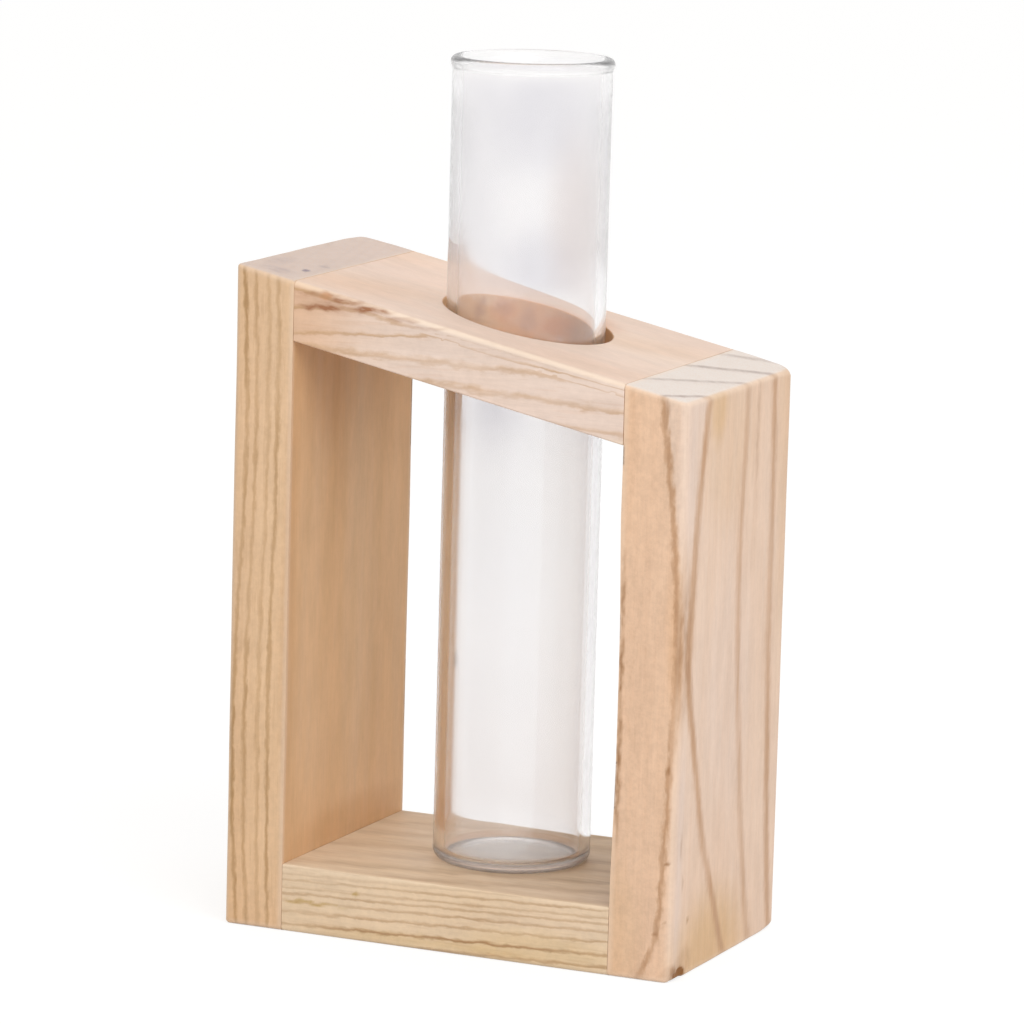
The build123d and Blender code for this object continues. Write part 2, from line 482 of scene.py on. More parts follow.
GRAIN_DRAW = 0.07  # fibres are drawn out along the grain: their scale there, against 1 across
FLECK_DRAW = 0.35  # the same for short flecks
PORE_SHARE = 0.34  # of the noise that makes the pores, how much of its range does
TONE_SHARE = 0.15  # how much one ring's tone differs from the next
STREAK_SHARE = 0.3
EDGE_SANDING_AND_HIGHLIGHT = 0.32  # how much paler the long edges are: sanded paler wood, and a painted highlight along the rounded arrises
FIBRE = 0.03  # how much lighter and darker fine fibres are
MOTTLE = 0.035  # how much lighter and darker the wood is from place to place
GRAIN_DEPTH = 0.12  # depth of the grain in the sanded face
WOOD_IOR, WOOD_SPECULAR = 1.45, 0.35
GLASS_IOR, GLASS_CLEARNESS = 1.47, 0.95


def link(tree, value, socket):
    """Connect a socket to another, or set it to a plain value."""
    if isinstance(value, bpy.types.NodeSocket):
        tree.links.new(value, socket)
    else:
        socket.default_value = value


def node(tree, kind, inputs=None, **settings):
    """Add a node with its settings, and its inputs by name or number."""
    made = tree.nodes.new(kind)
    for name, value in settings.items():
        setattr(made, name, value)
    for name, value in (inputs or {}).items():
        link(tree, value, made.inputs[name])
    return made


def maths(tree, operation, first, second=0.0, clamp=False):
    """One sum on two numbers."""
    made = node(tree, "ShaderNodeMath", {0: first, 1: second}, operation=operation, use_clamp=clamp)
    return made.outputs[0]


def between(tree, value, low, high, start=0.0, end=1.0):
    """Map a number from low..high to start..end along a smooth S."""
    sockets = {"Value": value, "From Min": low, "From Max": high, "To Min": start, "To Max": end}
    return node(tree, "ShaderNodeMapRange", sockets, interpolation_type="SMOOTHSTEP").outputs["Result"]


def blend(tree, share, first, second, mode="MIX"):
    """Mix two colours."""
    made = node(tree, "ShaderNodeMix", data_type="RGBA", blend_type=mode)
    for position, value in ((0, share), (6, first), (7, second)):
        link(tree, value, made.inputs[position])
    return made.outputs[2]


def noise(tree, vector, scale, detail, roughness):
    """Fine to coarse noise from 0 to 1 on a vector in millimetres."""
    sockets = {"Vector": vector, "Scale": scale, "Detail": detail, "Roughness": roughness}
    return node(tree, "ShaderNodeTexNoise", sockets).outputs["Fac"]


def spread_noise(tree, vector, scale, detail, roughness, start=0.0, end=1.0):
    """Noise whose usual values, 0.3 to 0.7, are spread over start..end."""
    return between(tree, noise(tree, vector, scale, detail, roughness), 0.3, 0.7, start, end)


def painted(tree, name):
    """A number that was stored on the piece's points."""
    return node(tree, "ShaderNodeAttribute", attribute_name=name).outputs["Fac"]


def new_group(name, inputs, outputs):
    """An empty node group with its sockets; the input and output nodes come with it."""
    group = bpy.data.node_groups.new(name, "ShaderNodeTree")
    for direction, sockets in (("INPUT", inputs), ("OUTPUT", outputs)):
        for socket_name, kind in sockets.items():
            group.interface.new_socket(socket_name, in_out=direction, socket_type=f"NodeSocket{kind}")
    return group, group.nodes.new("NodeGroupInput").outputs, group.nodes.new("NodeGroupOutput").inputs


def growth_group():
    """Group: one growth ring. The dark late wood builds up towards the ring's crisp outer line."""
    group, given, result = new_group(
        "growth_ring",
        {"Ring": "Float", "Crisp": "Float", "Position": "Vector"},
        {"Late": "Float", "Line": "Float", "Tone": "Float"},
    )
    part = maths(group, "FRACT", given["Ring"])
    crisp = given["Crisp"]
    fall = maths(group, "SUBTRACT", 1.0, between(group, part, crisp, 1.0))
    late = maths(group, "MULTIPLY", between(group, part, 0.45, maths(group, "MULTIPLY", crisp, 0.95)), fall)
    line_start = maths(group, "SUBTRACT", crisp, 0.16)
    line = maths(group, "MULTIPLY", between(group, part, line_start, crisp), fall)
    along = spread_noise(group, given["Position"], 0.5, 2.0, 0.5, 0.3, 1.0)
    tone = node(
        group, "ShaderNodeTexWhiteNoise", {"W": maths(group, "FLOOR", given["Ring"])}, noise_dimensions="1D"
    ).outputs["Value"]
    link(group, maths(group, "MULTIPLY", late, between(group, along, 0.3, 1.0, 0.65, 1.0)), result["Late"])
    link(group, maths(group, "MULTIPLY", line, along), result["Line"])
    link(group, tone, result["Tone"])
    return group


def fibre_group():
    """Group: what lies along the grain: soft streaks, fine fibres, short dark pores and cloudy patches."""
    group, given, result = new_group(
        "wood_fibres",
        {"Position": "Vector", "Pore Share": "Float"},
        {"Streak": "Float", "Fibre": "Float", "Pore": "Float", "Patch": "Float"},
    )
    streak = spread_noise(group, given["Position"], 0.35, 3.0, 0.6)
    fibre = noise(group, given["Position"], 2.6, 3.0, 0.65)
    pore = noise(group, given["Position"], 1.5, 1.0, 0.4)
    edge = maths(group, "SUBTRACT", 1.0, given["Pore Share"])
    pore = between(group, pore, maths(group, "SUBTRACT", edge, 0.05), edge)
    patch = spread_noise(group, given["Position"], 0.045, 2.0, 0.55)
    for name, value in (("Streak", streak), ("Fibre", fibre), ("Pore", pore), ("Patch", patch)):
        link(group, value, result[name])
    return group


def end_group():
    """Group: how sawn end grain drinks light: greyer, with fine pits between the rings."""
    group, given, result = new_group(
        "end_grain",
        {
            "Color": "Color", "End Color": "Color", "Late Color": "Color",
            "Share": "Float", "Position": "Vector", "Late": "Float",
        },
        {"Color": "Color"},
    )
    pits = between(group, noise(group, given["Position"], 3.2, 2.0, 0.6), 0.35, 0.75)
    pale = blend(group, maths(group, "MULTIPLY", pits, 0.35), given["End Color"], given["Color"])
    ringed = blend(group, given["Late"], pale, given["Late Color"])
    link(group, blend(group, given["Share"], given["Color"], ringed), result["Color"])
    return group


growth_ring = growth_group()
wood_fibres = fibre_group()
end_grain = end_group()


def new_material(name):
    """A material with a bare Principled shader; gives its tree, the shader and its output."""
    material = bpy.data.materials.new(name)
    material.use_nodes = True
    shader = next(n for n in material.node_tree.nodes if n.type == "BSDF_PRINCIPLED")
    output = next(n for n in material.node_tree.nodes if n.type == "OUTPUT_MATERIAL")
    return material, material.node_tree, shader, output


def millimetres(tree, scale=(1, 1, 1), shift=(0, 0, 0)):
    """The piece's own coordinates in millimetres, drawn out along the grain by a small scale."""
    place = node(tree, "ShaderNodeTexCoord").outputs["Object"]
    scaled = tuple(factor / MM for factor in scale)
    return node(tree, "ShaderNodeMapping", {"Vector": place, "Location": shift, "Scale": scaled}).outputs[0]


def wood(name, grain, colours, shift, crisp, late, ragged, speckle, line=0.15, pore=0.12):
    """Sanded softwood. Grain is the axis its fibres run along, colours a dict of screen colours.

    The shares say how strongly the late wood, its crisp line and short pores show, and how
    ragged the rings and how speckled the faces are. Faces with faint rings show faint streaks
    and pores, and the front and back are more ragged and speckled than the rest.
    """
    material, tree, shader, _ = new_material(name)
    colours = {part: srgb(*colour) for part, colour in colours.items()}
    drawn_out = tuple(GRAIN_DRAW if axis == grain else 1.0 for axis in "xyz")
    short = tuple(FLECK_DRAW if axis == grain else 1.0 for axis in "xyz")
    along = millimetres(tree, drawn_out, shift)
    flecked = millimetres(tree, short, shift)
    even = millimetres(tree, (1, 1, 1), shift)

    def weight(value, share):
        return maths(tree, "MULTIPLY", value, share, clamp=True)

    coarse = painted(tree, "coarse")
    tear = between(tree, noise(tree, flecked, 0.9, 3.0, 0.6), 0.25, 0.75, -ragged, ragged)
    ring = node(tree, "ShaderNodeGroup", {"Crisp": crisp, "Position": along}, node_tree=growth_ring)
    torn = maths(tree, "ADD", painted(tree, "ring"), maths(tree, "MULTIPLY", tear, coarse))
    link(tree, torn, ring.inputs["Ring"])
    fibrous_sockets = {"Position": along, "Pore Share": PORE_SHARE}
    fibres = node(tree, "ShaderNodeGroup", fibrous_sockets, node_tree=wood_fibres)
    strength = painted(tree, "ring_strength")
    fibrous = painted(tree, "fibrous")
    dark = weight(ring.outputs["Late"], strength)
    thin = weight(ring.outputs["Line"], strength)
    warmth_and_shade = painted(tree, "warmth_and_shade")
    patchy = spread_noise(tree, flecked, 0.6, 3.0, 0.6, 0.45, 1.45)
    colour = blend(tree, fibres.outputs["Patch"], colours["early"], colours["patch"])
    colour = blend(tree, weight(ring.outputs["Tone"], TONE_SHARE), colour, colours["tone"])
    # Warmth: the wood's own warmer and cooler tones, and painted shade that makes some faces browner
    colour = blend(tree, weight(warmth_and_shade, 1.0), colour, colours["warm"])
    colour = blend(tree, weight(maths(tree, "MULTIPLY", warmth_and_shade, -1.0), 1.0), colour, colours["cool"])
    colour = blend(tree, painted(tree, "tan"), colour, colours["tan"])
    streaks = weight(fibres.outputs["Streak"], weight(fibrous, STREAK_SHARE))
    colour = blend(tree, streaks, colour, colours["streak"], "MULTIPLY")
    colour = blend(tree, weight(dark, late), colour, colours["late"])
    colour = blend(tree, weight(thin, line), colour, colours["line"])
    colour = blend(tree, weight(fibres.outputs["Pore"], weight(fibrous, pore)), colour, colours["pore"])
    speckles = spread_noise(tree, even, 0.8, 3.0, 0.65, -speckle, speckle)
    fine = maths(tree, "ADD", maths(tree, "MULTIPLY", speckles, coarse), 1.0)
    fine = maths(tree, "ADD", between(tree, fibres.outputs["Fibre"], 0.25, 0.75, -FIBRE, FIBRE), fine)
    mottle = spread_noise(tree, flecked, 0.25, 3.0, 0.6, -MOTTLE, MOTTLE)
    fine = maths(tree, "ADD", mottle, fine)
    shade = node(tree, "ShaderNodeCombineColor", {0: fine, 1: fine, 2: fine}).outputs[0]
    colour = blend(tree, 1.0, colour, shade, "MULTIPLY")
    sawn = {"Color": colour, "Position": even, "Late": dark}
    ends = node(tree, "ShaderNodeGroup", sawn, node_tree=end_grain)
    link(tree, colours["end"], ends.inputs["End Color"])
    link(tree, colours["end_late"], ends.inputs["Late Color"])
    link(tree, painted(tree, "end_grain"), ends.inputs["Share"])
    # Along the long edges: the paler sanded wood and a painted highlight on the rounded arrises
    colour = blend(tree, weight(painted(tree, "edge"), EDGE_SANDING_AND_HIGHLIGHT), ends.outputs["Color"], colours["edge"])
    colour = blend(tree, weight(painted(tree, "stain"), patchy), colour, colours["stain"])
    link(tree, colour, shader.inputs["Base Color"])
    link(tree, between(tree, fibres.outputs["Streak"], 0, 1, 0.5, 0.62), shader.inputs["Roughness"])
    raised = maths(tree, "ADD", weight(dark, 0.4), maths(tree, "MULTIPLY", fine, 4.0))
    bump = node(tree, "ShaderNodeBump", {"Height": raised, "Strength": 0.4, "Distance": GRAIN_DEPTH * MM})
    link(tree, bump.outputs[0], shader.inputs["Normal"])
    shader.inputs["IOR"].default_value = WOOD_IOR
    shader.inputs["Specular IOR Level"].default_value = WOOD_SPECULAR
    return material


def left_wood():
    """Left upright: straight, close, olive-brown rings in warm tan wood."""
    colours = {
        "early": (222, 187, 150),
        "patch": (217, 180, 142),
        "tone": (224, 190, 152),
        "warm": (214, 166, 116),
        "cool": (218, 196, 176),
        "tan": (190, 140, 92),
        "streak": (240, 234, 226),
        "late": (167, 129, 83),
        "line": (144, 107, 66),
        "pore": (172, 132, 92),
        "end": (207, 189, 180),
        "end_late": (184, 164, 156),
        "edge": (228, 208, 190),
        "stain": (136, 120, 130),
    }
    shares = {"crisp": 0.76, "late": 1.0, "ragged": 0.1, "speckle": 0.035}
    return wood("left_board_wood", "z", colours, (3, 5, 0), **shares)


def right_wood():
    """Right upright: wide rings, orange-peach outside the first one and paler pink within."""
    colours = {
        "early": (223, 196, 175),
        "patch": (218, 188, 164),
        "tone": (221, 191, 165),
        "warm": (225, 184, 148),
        "cool": (218, 199, 188),
        "tan": (210, 175, 134),
        "streak": (244, 238, 232),
        "late": (184, 144, 110),
        "line": (160, 114, 80),
        "pore": (204, 156, 122),
        "end": (226, 217, 210),
        "end_late": (178, 161, 153),
        "edge": (236, 214, 192),
        "stain": (134, 86, 32),
    }
    shares = {"crisp": 0.76, "late": 0.9, "pore": 0.06, "ragged": 0.1, "speckle": 0.05}
    return wood("right_board_wood", "z", colours, (11, 2, 40), **shares)


def top_wood():
    """Top rail: pale pinkish wood with wavy tan bands."""
    colours = {
        "early": (229, 206, 189),
        "patch": (225, 198, 180),
        "tone": (227, 201, 181),
        "warm": (216, 168, 124),
        "cool": (228, 211, 201),
        "tan": (210, 136, 76),
        "streak": (244, 238, 232),
        "late": (196, 158, 116),
        "line": (156, 114, 78),
        "pore": (204, 160, 126),
        "end": (214, 168, 124),
        "end_late": (180, 130, 90),
        "edge": (250, 232, 204),
        "stain": (160, 110, 78),
    }
    shares = {"crisp": 0.8, "late": 0.8, "line": 0.25, "ragged": 0.11, "speckle": 0.02}
    return wood("top_board_wood", "x", colours, (0, 7, 3), **shares)


def bottom_wood():
    """Bottom rail: fine, close, level rings."""
    colours = {
        "early": (229, 207, 180),
        "patch": (224, 200, 172),
        "tone": (227, 205, 174),
        "warm": (222, 190, 146),
        "cool": (220, 199, 180),
        "tan": (206, 174, 110),
        "streak": (240, 234, 228),
        "late": (176, 140, 100),
        "line": (146, 108, 70),
        "pore": (180, 140, 104),
        "end": (212, 188, 160),
        "end_late": (180, 146, 108),
        "edge": (238, 216, 188),
        "stain": (176, 142, 66),
    }
    shares = {"crisp": 0.78, "late": 0.95, "line": 0.4, "ragged": 0.11, "speckle": 0.03}
    return wood("bottom_board_wood", "x", colours, (0, 1, 9), **shares)


def dowel_wood():
    """Dowels: plain pale hardwood, with its fibres along the rod and fine flutes."""
    material, tree, shader, _ = new_material("dowel_wood")
    along = millimetres(tree, (GRAIN_DRAW, 1, 1))
    streak = spread_noise(tree, along, 1.3, 3.0, 0.5)
    colour = blend(tree, streak, srgb(226, 200, 162), srgb(206, 174, 132))
    link(tree, colour, shader.inputs["Base Color"])
    link(tree, between(tree, streak, 0, 1, 0.5, 0.65), shader.inputs["Roughness"])
    bump = node(tree, "ShaderNodeBump", {"Height": streak, "Strength": 0.4, "Distance": 0.1 * MM})
    link(tree, bump.outputs[0], shader.inputs["Normal"])
    return material


def tube_glass():
    """Glass with a soft mist on its wall; lamps shine through it, so it casts no solid shadow.

    The tube's points carry how dense the mist is, where painted shade and reflections of the frame show in
    it, and smudges.
    """
    material, tree, shader, output = new_material("tube_glass")
    cloud = noise(tree, millimetres(tree, (1, 1, 0.5)), 0.09, 3.0, 0.55)
    cloudy = between(tree, cloud, 0.32, 0.68, 0.75, 1.2)
    # Painted shade and reflections of the frame: grey, and a warm blush where the wood shows in the glass
    grey = maths(tree, "MULTIPLY", painted(tree, "grey"), cloudy, clamp=True)
    colour = blend(tree, grey, srgb(254, 253, 253), srgb(230, 229, 234))
    colour = blend(tree, painted(tree, "blush"), colour, srgb(228, 200, 180))
    colour = blend(tree, painted(tree, "smudge"), colour, srgb(120, 118, 112))
    link(tree, colour, shader.inputs["Base Color"])
    rough = maths(tree, "MULTIPLY", painted(tree, "mist"), between(tree, cloud, 0.32, 0.68, 0.19, 0.26))
    link(tree, rough, shader.inputs["Roughness"])
    shader.inputs["Transmission Weight"].default_value = GLASS_CLEARNESS
    shader.inputs["IOR"].default_value = GLASS_IOR
    clear = node(tree, "ShaderNodeBsdfTransparent", {"Color": srgb(254, 254, 254)})
    shadow = node(tree, "ShaderNodeLightPath").outputs["Is Shadow Ray"]
    mixed = node(tree, "ShaderNodeMixShader", {0: shadow, 1: shader.outputs[0], 2: clear.outputs[0]})
    link(tree, mixed.outputs[0], output.inputs["Surface"])
    return material


# Tube


def arc_points(centre, radius, start, end, count):
    """Points of a circle's arc in the plane of radius and height, angles in degrees."""
    angles = np.radians(np.linspace(start, end, count))
    return np.stack([centre[0] + radius * np.cos(angles), centre[1] + radius * np.sin(angles)], -1)


def straight(start, end, step):
    """Points along a straight line, without its two ends."""
    start, end = np.array(start, float), np.array(end, float)
    count = max(2, round(np.linalg.norm(end - start) / step))
    return start + np.linspace(0, 1, count + 1)[1:-1, None] * (end - start)


def tube():
    """The glass tube, turned from its profile: out under the base, up, over the rim, and down inside."""
    widest = (tube_hi[0] - tube_lo[0]) / 2
    radius = widest - TUBE_BEAD
    bore = radius - TUBE_WALL
    base, top = tube_lo[2] + TUBE_STAND, tube_hi[2]
    hollow = base + TUBE_HOLLOW
    floor = tube_lo[2] + TUBE_FLOOR
    rim = (TUBE_WALL + TUBE_BEAD) / 2
    rim_z, bead_z = top - rim, top - TUBE_BEAD_HEIGHT
    swell = np.linspace(0, 1, 9)[1:-1]
    bead = np.stack([radius + TUBE_BEAD * smooth_step(swell, 0, 1), bead_z + swell * (rim_z - bead_z)], -1)
    corner = TUBE_FLOOR_CORNER
    profile = np.concatenate([
        [(0, hollow)],
        straight((0, hollow), (radius - 2.5 * TUBE_HEEL, hollow), TUBE_FLOOR_STEP),
        [(radius - 2.0 * TUBE_HEEL, base + 0.7 * TUBE_HOLLOW)],
        [(radius - 1.5 * TUBE_HEEL, base + 0.2 * TUBE_HOLLOW)],
        arc_points((radius - TUBE_HEEL, base + TUBE_HEEL), TUBE_HEEL, -90, 0, 12),
        straight((radius, base + TUBE_HEEL), (radius, bead_z), TUBE_STEP),
        [(radius, bead_z)],
        bead,
        arc_points((radius + TUBE_BEAD - rim, rim_z), rim, 0, 180, 19),
        straight((bore, rim_z), (bore, floor + corner), TUBE_STEP),
        arc_points((bore - corner, floor + corner), corner, 0, -90, 10),
        straight((bore - corner, floor), (0, floor), TUBE_FLOOR_STEP),
        [(0, floor)],
    ])
    axis = (tube_lo + tube_hi) / 2
    turn = np.linspace(0, 2 * pi, TUBE_AROUND, endpoint=False)
    x = axis[0] + profile[:, :1] * np.cos(turn)
    y = axis[1] + profile[:, :1] * np.sin(turn)
    z = np.repeat(profile[:, 1:], TUBE_AROUND, 1)
    return surface("glass_vase_tube", np.stack([x, y, z], -1))


# Dressing the pieces


def spot(points, centre, size):
    """A soft mark that is 1 at its centre and fades to 0 at an ellipsoid's surface."""
    distance = np.linalg.norm((points - np.array(centre)) / np.array(size), axis=1)
    return 1 - smooth_step(distance, 0.35, 1)


def marks(points, spots):
    """Add up soft marks, each given by its centre, its size and its strength."""
    return sum((strength * spot(points, centre, size) for centre, size, strength in spots), 0 * points[:, 0])


def near_edge(points, lo, hi, along_x):
    """1 at a board's long edges and 0 from 1.3 mm away: sanded paler wood and a painted highlight."""
    x, y, z = points.T
    top = top_z(x) if hi[2] > base_hi[2] else hi[2]
    gaps = [np.minimum(y - lo[1], hi[1] - y), np.minimum(z - lo[2], top - z)]
    if not along_x:
        gaps.append(np.minimum(x - lo[0], hi[0] - x))
    return 1 - smooth_step(np.sort(gaps, axis=0)[1], 0.3, 1.3)


def dress_board(piece, names, rings, material, end_axis, strengths, warmth_and_shade, tans=(), stains=()):
    """Paint a board's rings, end grain and marks, give it its wood, and let it stand for its node.

    Names are those of the node and of its material slot; the slot's name is not used.
    Strengths say how plainly the rings show on the faces across x, y and z.
    """
    node_name, slot_name = names
    points, normals = points_of(piece), normals_of(piece)
    lo, hi = corners_mm(node_name)
    ring, plainness = rings(points)
    strength = (normals**2) @ np.array(strengths)
    torn = points + MARK_WANDER * ripple(points, 2.2, seed=17)[:, None]
    paint(piece, "ring", ring)
    paint(piece, "ring_strength", np.clip(strength * plainness, 0, 1.2))
    paint(piece, "fibrous", smooth_step(strength, 0.05, 0.8))
    paint(piece, "coarse", 0.35 + 0.65 * normals[:, 1] ** 2)
    paint(piece, "end_grain", smooth_step(np.abs(normals[:, end_axis]), 0.7, 0.95))
    # Warmth: the wood's own tone, with painted shade on faces turned from the light
    paint(piece, "warmth_and_shade", np.clip(warmth_and_shade(points, normals, ring), -1, 1))
    # Edge: paler sanded wood, and a painted highlight along the rounded arrises
    paint(piece, "edge", near_edge(points, lo, hi, along_x=end_axis == 0))
    paint(piece, "tan", np.clip(marks(torn, tans), 0, 1))
    paint(piece, "stain", np.clip(marks(torn, stains), 0, 2))
    piece.data.materials.append(material)
    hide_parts(node_name)
    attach(piece, "frame")


def left_board():
    """The left upright: its inner face is painted browner as shade, with a grey bruise in its end grain."""
    def warmth_and_shade(points, normals, ring):
        # Painted shade: the inner face, which looks into the window, is browner, more so towards the top
        # under the rail
        inner = np.clip(normals[:, 0], 0, 1) * (0.45 + 0.35 * smooth_step(points[:, 2], 60, 115))
        swell = 0.08 * np.clip(normals[:, 0], 0, 1) * np.sin(2 * pi * (points[:, 1] + 12) / 19)
        return inner + swell + 0.2 * ripple(points * (1, 1, 0.4), 26.0, seed=51)

    inner_x = left_hi[0]
    tans = [
        ((inner_x, -10, 104), (2, 14, 16), 0.3),
        ((inner_x, -26, 60), (2, 4, 60), 0.3),
        ((inner_x, 4, 16), (2, 30, 6), 0.35),
    ]
    stains = [
        ((-36.6, -16.0, top_z(-36.6)), (1.2, 1.7, 2.0), 0.85),
        ((-39.5, -21.5, top_z(-39.5)), (4.5, 3.6, 2.0), 0.22),
        ((-42.5, -14.0, top_z(-42.5)), (2.5, 7.0, 2.0), 0.15),
        ((-36.3, -8.6, top_z(-36.3)), (1.3, 2.2, 2.0), 0.22),
    ]
    piece = upright("left_board", left_lo, left_hi, -1, LEFT_CORNERS, wear_seed=12)
    names, strengths = ("left_upright", "left_board"), (0.14, 1, 0.15)
    dress_board(piece, names, left_rings, left_wood(), 2, strengths, warmth_and_shade, tans, stains)


def chipped(points, corner):
    """1 inside a small chip at the right upright's lower front corner, fading to 0 at its ragged edge."""
    ragged = points + 0.35 * ripple(points, 2.0, seed=63)[:, None]
    distance = np.linalg.norm((ragged - np.array(corner)) / (2.4, 3.6, 2.3), axis=1)
    return 1 - smooth_step(distance, 0.72, 1.0)


def right_board():
    """The right upright: peach on its front, pale on its side, yellower at its foot, chipped at a corner.

    Its inner front edge is worn hollow half way down, where a brown line of painted shade runs along it.
    """
    edge_x, face_x, face_y = right_lo[0], right_hi[0], right_lo[1]
    bow, bow_height, bow_reach = 0.5, 52.0, 34.0
    chip_depth = 0.3
    piece = upright("right_board", right_lo, right_hi, 1, RIGHT_CORNERS, wear_seed=13)

    points, normals = points_of(piece), normals_of(piece)
    chip = chipped(points, (face_x, face_y + 3.6, 0))
    hollowed = np.clip(np.cos((points[:, 2] - bow_height) / bow_reach * pi / 2), 0, 1)
    hollowed[np.abs(points[:, 2] - bow_height) > bow_reach] = 0
    near_inner = 1 - smooth_step(points[:, 0] - edge_x, 0.5, 5)
    near_front = 1 - smooth_step(points[:, 1] - face_y, 0.5, 6)
    points[:, 0] += bow * hollowed * (near_inner * near_front)
    move_points(piece, points - chip_depth * chip[:, None] * normals)

    def warmth_and_shade(points, normals, ring):
        front = np.clip(-normals[:, 1], 0, 1)
        side = np.clip(normals[:, 0], 0, 1)
        within_first = (1 - smooth_step(ring, 0.5, 0.72)) * smooth_step(points[:, 2], 40, 75)
        strip = 0.45 * side * (1 - smooth_step(points[:, 1] - face_y, 2.5, 6))
        strip *= 1 - smooth_step(points[:, 2], 34, 50)
        spots = [((face_x, face_y + 2, 66), (4, 6, 22), 0.4), ((face_x, -2, 52), (4, 15, 36), -0.35)]
        wavy = 0.15 * ripple(points * (1, 1, 0.4), 24.0, seed=61)
        paler = (0.6 * front + 0.35 * side) * within_first
        return 0.62 * front - 0.05 * side - paler - strip + marks(points, spots) + wavy

    tans = [
        ((face_x, face_y + 19, 0), (4, 24, 19), 0.9),
        ((face_x, face_y + 15, 106), (4, 6, 10), 0.55),
        ((face_x, face_y + 20, 98), (4, 18, 20), 0.25),
        ((face_x, face_y + 50, 108), (4, 8, 90), 0.25),
        ((edge_x, face_y, 6), (9, 2, 22), 0.35),
    ]
    stains = [
        ((face_x, face_y + 5.0, 0.9), (2.4, 3.0, 1.5), 1.5),
        ((face_x - 0.4, face_y + 1.6, 1.6), (2, 3.4, 2.4), 0.5),
        ((face_x, face_y + 34.8, 100), (1, 1.2, 17), 0.2),
        ((face_x, face_y + 6.5, 3.4), (2, 5.5, 3.4), 0.2),
        ((face_x, face_y + 7.7, 10.7), (1, 0.8, 0.9), 0.5),
        ((face_x, face_y + 4.6, 18), (1, 0.8, 3.0), 0.25),
        ((face_x, face_y + 3.6, 25), (1, 0.7, 3.5), 0.2),
        ((face_x, face_y + 2.0, 63), (3, 4.2, 19), 0.3),
        # Painted shade: a brown line along the inner front edge where it is worn hollow
        ((edge_x + 0.9, face_y, 42), (0.7, 2, 22), 0.55),
        ((edge_x + 0.9, face_y, 66), (0.7, 2, 19), 0.45),
        ((edge_x + 11.4, face_y, 22.5), (0.5, 1, 0.5), 0.7),
        ((edge_x + 11.2, face_y, 11.4), (0.35, 1, 0.5), 0.5),
        ((edge_x + 9.5, face_y, 9.2), (0.7, 1, 0.6), 0.5),
        ((edge_x + 11.0, face_y, 40.0), (0.5, 1, 1.4), 0.5),
        ((edge_x + 8.3, face_y, 106.0), (0.8, 1, 5.0), 0.35),
    ]
    names = ("right_upright", "right_board")
    dress_board(piece, names, right_rings, right_wood(), 2, (1, 1, 1), warmth_and_shade, tans, stains)


def top_board():
    """The top rail: pinkish, with a brown wedge under its front edge and a tan hole with brown streaks."""
    axis = np.array(HOLE_CENTRE)

    def warmth_and_shade(points, normals, ring):
        inside = np.hypot(points[:, 0] - axis[0], points[:, 1] - axis[1]) < HOLE_RADIUS + HOLE_EASE / 2
        # Painted shade: faces that look down are browner
        under = np.clip(-normals[:, 2], 0, 1)
        front = np.clip(-normals[:, 1], 0, 1) * ~inside
        tanned = front * (0.45 - 1.0 * smooth_step(points[:, 0], -32, -2))
        return inside + 0.2 * under + tanned + 0.2 * ripple(points, 22.0, seed=71)

    front = rail_lo[1]
    tans = [
        ((-27.3, front, 121.6), (1.8, 2, 0.8), 0.8),
        # The hole's back wall, and two warmer places on it
        ((1.9, 12, 112), (17, 10, 12), 0.7),
        ((2.6, 16.4, 113.5), (5.5, 4, 3.0), 0.45),
        ((-9.4, 11.7, 116.5), (5, 5, 3.0), 0.45),
    ]
    stains = [
        ((-29.5, front, 121.9), (6.0, 2, 0.8), 0.35),
        ((-23.5, front, 121.0), (5.0, 2, 0.7), 0.4),
        ((-17.5, front, 119.8), (5.5, 2, 0.7), 0.6),
        ((-11.5, front, 118.6), (5.0, 2, 0.6), 0.4),
        ((-6.0, front, 117.4), (4.5, 2, 0.5), 0.25),
        ((-28.5, front, 119.5), (7.0, 2, 0.7), 0.6),
        ((-21.0, front, 119.7), (5.5, 2, 0.6), 0.4),
        ((-24, front, 120.6), (12, 2, 2.6), 0.32),
        # Streaks down the hole's back wall
        ((-12.6, 7.2, 117.0), (2.5, 3, 2.6), 0.5),
        ((-9.0, 12.0, 116.6), (3.5, 3, 1.8), 0.35),
        ((-4.6, 15.0, 114.6), (2.4, 3, 3.4), 0.4),
        ((6.2, 15.9, 112.6), (3.0, 3, 2.6), 0.2),
    ]
    names = ("top_rail", "top_board")
    dress_board(top_rail(), names, top_rings, top_wood(), 0, (0.6, 1, 0.05), warmth_and_shade, tans, stains)


def bottom_board():
    """The bottom rail, with a short yellow mark on its front."""
    def warmth_and_shade(points, normals, ring):
        return 0.15 * np.clip(-normals[:, 1], 0, 1) + 0.2 * ripple(points * (0.4, 1, 1), 20.0, seed=81)

    front = base_lo[1]
    tans = [((20, front, 3), (22, 2, 5), 0.3), ((-5, front, 1), (30, 2, 2.5), 0.3)]
    stains = [
        ((-28.5, front, 6.2), (6, 1, 0.6), 0.9),
        ((-22.0, front, 6.0), (3, 1, 0.4), 0.4),
        ((-18.4, front, 9.0), (0.9, 1, 0.5), 0.5),
    ]
    names = ("bottom_rail", "bottom_board")
    dress_board(bottom_rail(), names, bottom_rings, bottom_wood(), 0, (1, 1, 0.8), warmth_and_shade, tans, stains)


def dress_dowels():
    """The dowels keep their own shape and get their wood."""
    dowels = dowel_wood()
    for name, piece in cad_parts.items():
        if name.endswith("_dowels"):
            piece.data.materials.clear()
            piece.data.materials.append(dowels)


